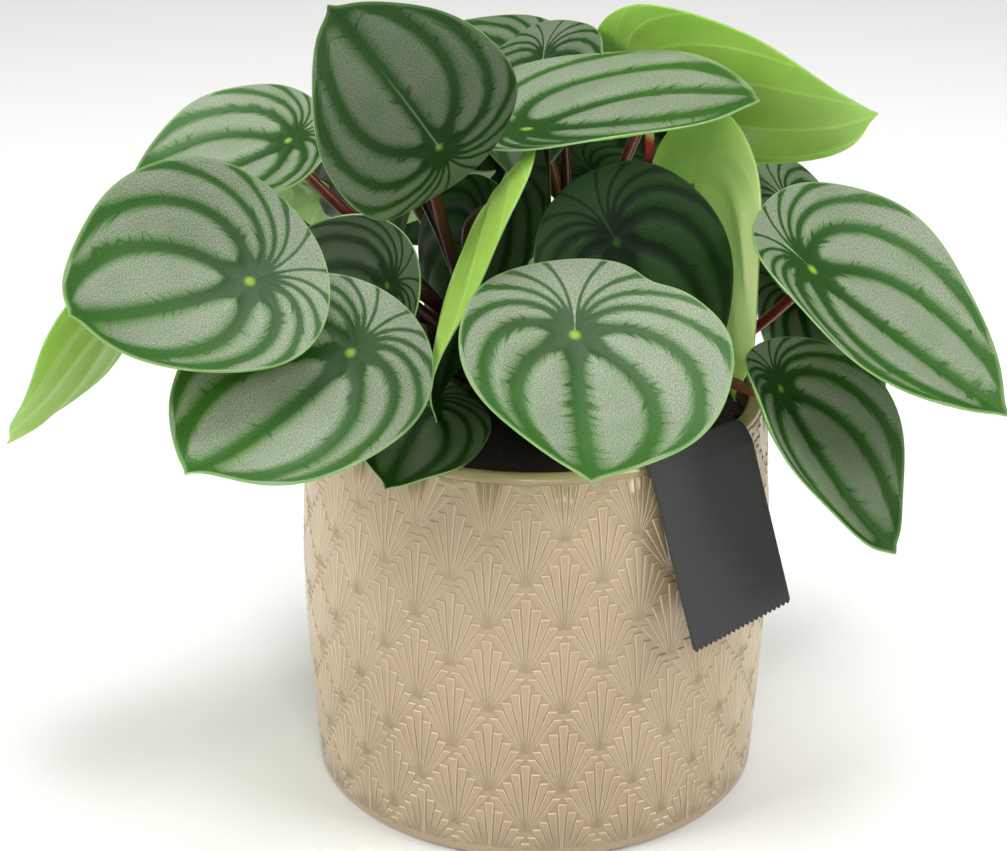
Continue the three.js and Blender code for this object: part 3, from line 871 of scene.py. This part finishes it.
@dataclass
class Stalks:
    """The crown and its stalks, rounded from their solid."""

    joints: list[Blade]
    node: str = "crown_with_stalks"
    reach: float = 2.4
    push: float = 0.75
    flare: float = 1.12
    fuller: float = 0.14
    green_from: float = 16.0
    crown_radii: Pair = (34.0, 56.0)
    crown_shade_amount: Pair = (0.92, 0.0)

    def build(self) -> None:
        """Merges a copy of the solid, fits its ends to the blades and rounds it."""
        bm = bmesh.new()
        bm.from_mesh(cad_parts[self.node].data)
        bmesh.ops.scale(bm, vec=(1 / MM, 1 / MM, 1 / MM), verts=bm.verts)
        bmesh.ops.remove_doubles(bm, verts=bm.verts, dist=1e-3)
        bmesh.ops.join_triangles(
            bm,
            faces=bm.faces,
            angle_face_threshold=math.radians(40),
            angle_shape_threshold=math.radians(60),
        )
        green, shade_layer = (bm.verts.layers.float.new(name) for name, _ in STALK_LAYERS)
        joints = [Vector(blade.joint) for blade in self.joints]
        normals = [Vector(blade.rotation[:, 2]) for blade in self.joints]
        for vert in bm.verts:
            away = [(vert.co - joint).length for joint in joints]
            nearest = int(np.argmin(away))
            vert[green] = max(0.0, 1 - away[nearest] / self.green_from) ** 1.5
            out = math.hypot(vert.co.x, vert.co.y)
            # Painted shade: stalks near the crown's middle are darkened, where the leaves above
            # shade them.
            vert[shade_layer] = float(np.interp(out, self.crown_radii, self.crown_shade_amount))
            if away[nearest] < self.reach:
                arm = vert.co - joints[nearest]
                arm -= normals[nearest] * arm.dot(normals[nearest])
                vert.co += arm * (self.flare - 1) + normals[nearest] * self.push
        piece = finish_piece("crown_and_stalks", bm, [STALK.material()], [self.node])
        modify(piece, "round_section", "DISPLACE", strength=self.fuller * MM, mid_level=0)
        modify(piece, "round", "SUBSURF", levels=2, render_levels=2)


# ---- pot, soil and label
@dataclass
class CoverPot:
    """The glazed cover pot: a barrel wall, a rounded lip and rows of stepped fans in relief."""

    height: float = 122
    foot_radius: float = 61.5
    foot_rounding: float = 4
    foot_top: Pair = (65.1, 4)
    rim_radius: float = 66
    wall: float = 4.6
    floor: float = 6
    lip_depth: float = 6
    floor_rounding: float = 4
    inner_taper: float = 2.5
    wall_points: tuple[Pair, ...] = ((65.3, 8), (68.3, 61), (67.2, 103.7), (66, 119))
    steps: int = 240
    fans_round: int = 20
    first_azimuth: float = -92.9
    row_pitch: float = 13.25
    lowest_top: float = 6.3
    fan_height: float = 24.6
    ray_tops: tuple[float, ...] = (24.6, 21.7, 18.7, 16.1, 13.4)
    ray_sides: tuple[float, ...] = (3.6, 11.6, 20.2, 29.3, 38)
    ray_start: float = 1.6
    ray_levels: tuple[float, ...] = (-0.02, 1, 1.1)
    groove: float = 0.14
    groove_from: float = 9
    chamfer: float = 0.26
    crest: float = 0.16
    sunk: float = 0.35
    flat_radius: float = 66.9
    wrap_radius: float = 67.0
    relief: float = 0.44
    relief_from: float = 2.0
    relief_over: float = 8.0
    relief_low: float = 4.4
    relief_high: float = 119.4

    def wall_curve(self) -> Points:
        """The outer wall's curve, radius and height."""
        return spline_through(self.wall_points, 8)

    def radius_at(self, height: Array) -> Array:
        """The outer wall's radius at some heights."""
        curve = np.array([self.foot_top, *self.wall_curve()])
        return np.interp(height, curve[:, 1], curve[:, 0])

    def arc(self, centre: Pair, size: float, start: int, end: int) -> Points:
        """Points of an arc round a centre, from one angle to another in degrees."""
        angles = np.radians(np.linspace(start, end, 9))
        return [(centre[0] + size * math.cos(a), centre[1] + size * math.sin(a)) for a in angles]

    def build_body(self, glaze: Material) -> None:
        """Spins the pot's body."""
        lip = self.wall / 2
        inner = self.rim_radius - self.wall
        floor_radius = inner - self.inner_taper
        profile = [
            (0, 0),
            (self.foot_radius * 0.5, 0),
            *self.arc((self.foot_radius, self.foot_rounding), self.foot_rounding, -90, -15),
            *self.wall_curve(),
            *self.arc((self.rim_radius - lip, self.height - lip), lip, 10, 170),
            (inner, self.height - self.lip_depth),
            (floor_radius, self.floor + self.floor_rounding),
            (floor_radius - self.floor_rounding, self.floor),
            (0, self.floor),
        ]
        bm = spun_profile(profile, self.steps)
        finish_piece("cover_pot", bm, [glaze], ["pot"])

    def ray(self, bm: BMesh, number: int, side: int) -> None:
        """Adds one closed ray of a flat fan, apex at the origin, raised along +Z to a height of 1.

        Args:
            bm: The fan's mesh, with a layer for the light glaze on edges.
            number: Which ray, from 0 in the middle to the lowest.
            side: 1 to the right of the middle, -1 to the left.
        """
        edge_layer = bm.verts.layers.float["glaze_edge"]
        top = self.ray_tops[number]
        inner = math.tan(math.radians(self.ray_sides[number - 1] if number else -self.ray_sides[0]))
        outer = math.tan(math.radians(self.ray_sides[number]))
        inset = self.chamfer + self.crest
        rows = (self.ray_start, 0.4 * top, top - inset, top - self.chamfer, top)
        grid = bmesh.ops.create_grid(bm, x_segments=5, y_segments=4, size=0.5)
        faces = {face for vert in grid["verts"] for face in vert.link_faces}
        for vert in grid["verts"]:
            column, row = round((vert.co.x + 0.5) * 5), round((vert.co.y + 0.5) * 4)
            height = rows[row]
            groove = self.groove * min(1, height / self.groove_from)
            half = height * (outer - inner) / 2 - groove
            chamfer, crest = min(self.chamfer, 0.3 * half), min(self.crest, 0.25 * half)
            steps = (half, half - chamfer, half - chamfer - crest)
            across = -steps[column] if column < 3 else steps[5 - column]
            depth = min(column, 5 - column, 4 - row, 2)
            middle = height * (outer + inner) / 2
            vert.co = (side * (middle + across), height, self.ray_levels[depth])
            vert[edge_layer] = 1.0 if depth == 1 else 0.0
        for face in faces:
            face.smooth = True
        sides = {edge for face in faces for edge in face.edges}
        border = [edge for edge in sides if edge.is_boundary]
        skirt = bmesh.ops.extrude_edge_only(bm, edges=border)["geom"]
        for item in skirt:
            if isinstance(item, BMVert):
                item.co.z = -self.sunk
                item[edge_layer] = 0.0
        rim = [item for item in skirt if isinstance(item, BMEdge) and item.is_boundary]
        bmesh.ops.holes_fill(bm, edges=rim, sides=0)

    def fan(self) -> bpy.types.Mesh:
        """A flat fan of nine closed rays with chamfered sides."""
        bm = bmesh.new()
        bm.verts.layers.float.new("glaze_edge")
        self.ray(bm, 0, 1)
        for number in range(1, len(self.ray_tops)):
            for side in (-1, 1):
                self.ray(bm, number, side)
        bmesh.ops.recalc_face_normals(bm, faces=bm.faces)
        return to_mesh("fan", bm)

    def build_relief(self, glaze: Material) -> None:
        """Lays the fans over the wall, row by row, each row half a fan on from the last."""
        fan = self.fan()
        whole = bmesh.new()
        spacing = FULL_TURN / self.fans_round
        rows = int((self.relief_high + self.fan_height - self.lowest_top) / self.row_pitch) + 1
        for row in range(rows):
            foot = self.lowest_top + row * self.row_pitch - self.fan_height
            for column in range(self.fans_round):
                known = len(whole.verts)
                whole.from_mesh(fan)
                whole.verts.ensure_lookup_table()
                azimuth = math.radians(self.first_azimuth) + (column + 0.5 * (row % 2)) * spacing
                for vert in whole.verts[known:]:
                    x, y, z = vert.co
                    grown = (math.hypot(x, y) - self.relief_from) / self.relief_over
                    raised = self.relief * min(max(grown, 0.0), 1.0)
                    radius = self.flat_radius + (raised * z if z > 0 else z)
                    vert.co = (azimuth + x / self.wrap_radius, radius, foot + y)
        # The sheet of fans is cut straight at the foot and the lip, then wrapped on the wall.
        for cut, keep_below in ((self.relief_high, True), (self.relief_low, False)):
            bmesh.ops.bisect_plane(
                whole,
                geom=whole.verts[:] + whole.edges[:] + whole.faces[:],
                dist=1e-5,
                plane_co=(0, 0, cut),
                plane_no=(0, 0, 1),
                clear_outer=keep_below,
                clear_inner=not keep_below,
            )
            open_edges = [edge for edge in whole.edges if edge.is_boundary]
            bmesh.ops.holes_fill(whole, edges=open_edges, sides=0)
        walls = self.radius_at(np.array([vert.co.z for vert in whole.verts]))
        for vert, wall in zip(whole.verts, walls):
            azimuth, radius, height = vert.co
            out = wall + radius - self.flat_radius
            vert.co = (out * math.cos(azimuth), out * math.sin(azimuth), height)
        bmesh.ops.recalc_face_normals(whole, faces=whole.faces)
        finish_piece("fan_relief", whole, [glaze], [], smooth=False)

    def build(self) -> None:
        """Builds the body and its relief in one glaze."""
        glaze = GlazeFinish().material()
        self.build_body(glaze)
        self.build_relief(glaze)


@dataclass
class PottingSoil:
    """The soil, with a crumbly top and loose crumbs on it."""

    inner_radius: float = 61.1
    low_radius: float = 58.6
    floor: float = 6.3
    floor_rounding: float = 4
    top: float = 110.6
    mound: float = 1.6
    edge_drop: float = 2.5
    edge_taper: float = 0.4
    roughness: float = 1.5
    rings: int = 26
    steps: int = 120
    crumbs: int = 520
    crumb_sizes: Pair = (0.4, 1.5)
    seed: int = 5

    def build(self) -> None:
        """Spins the soil, roughens its top and strews crumbs over it."""
        profile = [
            (0, self.floor),
            (self.low_radius - self.floor_rounding, self.floor),
            (self.low_radius, self.floor + self.floor_rounding),
            (self.inner_radius - self.edge_taper, self.top - self.edge_drop),
        ]
        for i in range(self.rings + 1):
            share = i / self.rings
            height = self.top + self.mound * min(1, 2 * i / self.rings)
            profile.append((self.inner_radius * (1 - share), height))
        bm = spun_profile(profile, self.steps)
        # Lumps of about 6 mm with crumbs of about 2 mm on them.
        for vert in bm.verts:
            if vert.co.z > self.top - 1:
                coarse = noise.noise(vert.co * 0.16)
                fine = noise.noise(vert.co * 0.55 + Vector((7, 3, 1)))
                vert.co.z += self.roughness * (0.7 * coarse + 0.6 * fine)
        draw = random.Random(self.seed)
        for _ in range(self.crumbs):
            radius = (self.inner_radius - 2) * math.sqrt(draw.random())
            azimuth = draw.uniform(0, FULL_TURN)
            size = draw.uniform(*self.crumb_sizes)
            place = Vector((radius * math.cos(azimuth), radius * math.sin(azimuth), self.top + 0.8))
            angle = draw.uniform(0, math.pi)
            turn = Matrix.Rotation(angle, 4, Vector((draw.random(), draw.random(), 0.3)))
            squash = Matrix.Diagonal((1, draw.uniform(0.6, 1), draw.uniform(0.5, 0.9), 1))
            matrix = Matrix.Translation(place) @ turn @ squash
            bmesh.ops.create_icosphere(bm, subdivisions=1, radius=size, matrix=matrix)
        finish_piece("potting_soil", bm, [SoilFinish().material()], ["soil"])


@dataclass
class CardLabel:
    """The blank card folded over the rim, with its pinked lower edge."""

    width: float = 39
    visible: float = 46.6
    straight: float = 10
    rows: int = 14
    thickness: float = 0.8
    azimuth: float = -47.5
    lean: float = 17
    skew: float = 3
    teeth: int = 21
    tooth_depth: float = 1.1
    wall_radius: float = 67.2
    start_height: float = 117
    fold_top: float = 123.6
    fold_shoulder: float = 1.6
    tab_radius: float = 56.5
    tab_shoulder: float = 0.6
    tab_bottom: float = 112.5

    def hanging(self, step: float) -> Pair:
        """Radius and height of a point some millimetres down the hanging face."""
        lean = math.radians(self.lean)
        outer = self.wall_radius + self.thickness
        return outer + step * math.sin(lean), self.start_height - step * math.cos(lean)

    def centre_line(self) -> Points:
        """The card's middle line from the tab, over the fold and down the hanging face."""
        outer = self.wall_radius + self.thickness
        shoulder = (self.start_height + self.fold_top) / 2
        fold = [
            (self.tab_radius, self.tab_bottom),
            (self.tab_radius + self.tab_shoulder, shoulder),
            ((outer + self.tab_radius) / 2, self.fold_top),
            (outer - self.fold_shoulder, shoulder),
            (outer, self.start_height),
            self.hanging(self.straight),
        ]
        rest = self.visible - self.straight
        face = [self.hanging(self.straight + rest * i / self.rows) for i in range(1, self.rows + 1)]
        return [*spline_through(fold, 8), *face]

    def build(self) -> None:
        """Sweeps the card along its line, slides its face askew and pinks its edge."""
        line = self.centre_line()
        bm = bmesh.new()
        verts = [bm.verts.new((radius, -self.width / 2, height)) for radius, height in line]
        last = [bm.edges.new(pair) for pair in zip(verts, verts[1:])]
        columns = 4 * self.teeth
        for _ in range(columns):
            grown = bmesh.ops.extrude_edge_only(bm, edges=last)["geom"]
            last = [item for item in grown if isinstance(item, BMEdge)]
            moved = [item for item in grown if isinstance(item, BMVert)]
            bmesh.ops.translate(bm, verts=moved, vec=(0, self.width / columns, 0))
        bmesh.ops.recalc_face_normals(bm, faces=bm.faces)
        card_map = bm.loops.layers.uv.new(CARD_MAP)
        for face in bm.faces:
            for loop in face.loops:
                co = loop.vert.co
                # The lean of the face takes up 0.3 of its run outwards.
                loop[card_map].uv = (co.y / CARD_UNIT, (co.z + 0.3 * co.x) / CARD_UNIT)
        self.skew_face(bm, line[-1][1])
        turn = Matrix.Rotation(math.radians(self.azimuth), 3, "Z")
        bmesh.ops.rotate(bm, cent=(0, 0, 0), matrix=turn, verts=bm.verts)
        piece = finish_piece("card_label", bm, [CardFinish().material()], ["label"])
        modify(piece, "card", "SOLIDIFY", thickness=self.thickness * MM, offset=0)

    def skew_face(self, bm: BMesh, end_height: float) -> None:
        """Hangs the face a little crooked and cuts teeth in its lower edge.

        Args:
            bm: The card's mesh, its width along Y.
            end_height: The height of its lower edge.
        """
        lean = math.radians(self.lean)
        drop = math.tan(math.radians(self.skew))
        for vert in bm.verts:
            x, y, z = vert.co
            if x < self.wall_radius or z > self.start_height:
                continue
            hung = (self.start_height - z) / (self.start_height - end_height)
            share = (y + self.width / 2) / self.width
            lower = self.width * drop * hung * (0.5 - share)
            if hung > 0.999:
                lower += self.tooth_depth * (1 - abs((share * self.teeth) % 1 - 0.5) * 2)
            vert.co.y += hung * self.visible * drop
            vert.co.z -= lower * math.cos(lean) - (0.5 * self.width * drop * hung)
            vert.co.x += lower * math.sin(lean)


# ---- studio
@dataclass
class Studio:
    """Pale floor, soft lights and the camera at the photograph's place."""

    camera_place: Triple = (-9.6, -800, 464)
    pitch: float = 24
    lens: float = 107.25
    sensor: float = 36
    floor_half: float = 4.0
    air: float = 0.05
    air_colour: str = "f6f8fa"
    aim: Triple = (0, 0, 0.14)
    lights: tuple[tuple[str, Triple, float, float], ...] = (
        ("left_softbox", (-1.07, -0.52, 0.95), 0.7, 14.5),
        ("right_softbox", (1.07, -0.52, 1.0), 0.7, 13.5),
        ("top_softbox", (0.05, 0.1, 1.4), 0.8, 16),
        ("front_fill", (0.1, -1.5, 0.95), 0.6, 9),
    )

    def floor(self) -> None:
        """Lays the floor under the pot."""
        bm = bmesh.new()
        bmesh.ops.create_grid(bm, x_segments=1, y_segments=1, size=self.floor_half)
        mesh = to_mesh("studio_floor", bm)
        mesh.materials.append(StudioFinish().material())
        place_object("studio_floor", mesh)

    def soft_light(self, name: str, place: Sequence[float], size: float, power: float) -> None:
        """Adds a square soft light that faces the plant.

        Args:
            name: The light's name.
            place: Where it hangs, in metres.
            size: Its side in metres.
            power: Its power in watts.
        """
        light = bpy.data.lights.new(name, "AREA")
        light.size = size
        light.energy = power
        holder = place_object(name, light)
        holder.location = place
        aim = Vector(self.aim) - Vector(place)
        holder.rotation_euler = aim.to_track_quat("-Z", "Y").to_euler()

    def build(self) -> None:
        """Builds the floor, the lights, the surrounding light and the camera."""
        self.floor()
        for light in self.lights:
            self.soft_light(*light)
        world = bpy.data.worlds.new("studio_air")
        world.use_nodes = True
        world.node_tree.nodes.clear()
        add = partial(add_node, world.node_tree)
        air = add("Background", {"Color": self.air_colour, "Strength": self.air})
        add("OutputWorld", {"Surface": air})
        scene = bpy.context.scene
        scene.world = world
        camera = bpy.data.cameras.new("camera")
        camera.lens = self.lens
        camera.sensor_width = self.sensor
        scene.camera = place_object("camera", camera)
        scene.camera.location = [part * MM for part in self.camera_place]
        scene.camera.rotation_euler = (math.radians(90 - self.pitch), 0, 0)
        scene.view_settings.view_transform = "Standard"


def main() -> None:
    """Builds every sub-assembly in order."""
    logging.basicConfig(level=logging.INFO, format="%(name)s %(message)s")
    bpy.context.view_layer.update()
    Studio().build()
    foliage = Foliage()
    CoverPot().build()
    PottingSoil().build()
    CardLabel().build()
    Stalks(joints=foliage.blades).build()
    foliage.build()


if __name__ == "__main__":
    main()
